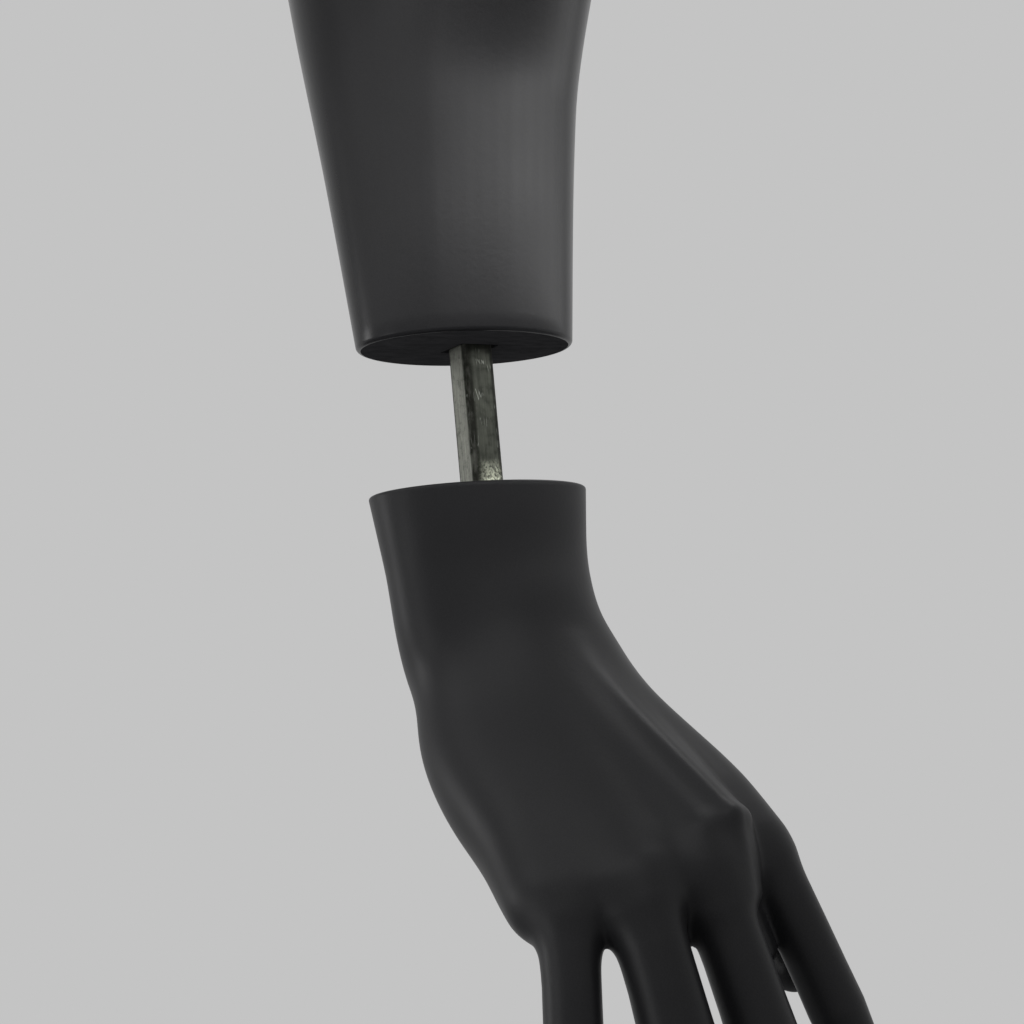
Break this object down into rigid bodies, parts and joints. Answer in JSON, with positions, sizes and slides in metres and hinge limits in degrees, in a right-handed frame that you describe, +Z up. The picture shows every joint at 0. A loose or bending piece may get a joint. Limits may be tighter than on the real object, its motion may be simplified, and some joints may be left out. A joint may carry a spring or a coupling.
{
  "type": "mannequin arm with detachable hand",
  "caption": "Matte charcoal display mannequin arm: a hollow moulded arm with a shoulder stud, and a cast hand that slides off the wrist on a square steel peg.",
  "frame": {"origin": "centre of the shoulder plate's outer face, where the stud leaves it", "axes": "+Z up along the hanging arm and the wrist peg, +X forward to the thumb side, -Y outward away from the torso"},
  "size_m": [0.1329, 0.143, 0.8329],
  "materials": {
    "paint": "matte charcoal paint",
    "end_face": "matte black paint",
    "peg_steel": "worn drawn steel",
    "zinc": "zinc plated",
    "timber": "bare softwood"
  },
  "bodies": {
    "arm": {"arm_shell": "paint", "wrist_cap": "end_face", "wrist_block": "timber", "socket_tube": "peg_steel", "socket_flange": "peg_steel", "socket_screws": "zinc", "socket_stop": "peg_steel", "grip_spring": "zinc", "spring_rivet": "zinc", "shoulder_cap": "end_face", "shoulder_block": "timber", "shoulder_plate": "zinc", "shoulder_stud": "zinc", "stud_washer": "zinc", "stud_nut": "zinc", "shoulder_dowel": "zinc", "shoulder_screws": "zinc"},
    "hand": {"hand_casting": "paint", "hand_peg": "peg_steel", "peg_pin": "zinc"}
  },
  "joints": [
    {"name": "hand_slide", "type": "slide", "parent": "arm", "child": "hand", "axis": [0, 0, 1], "range_m": [-0.045, 0.0412]}
  ]
}
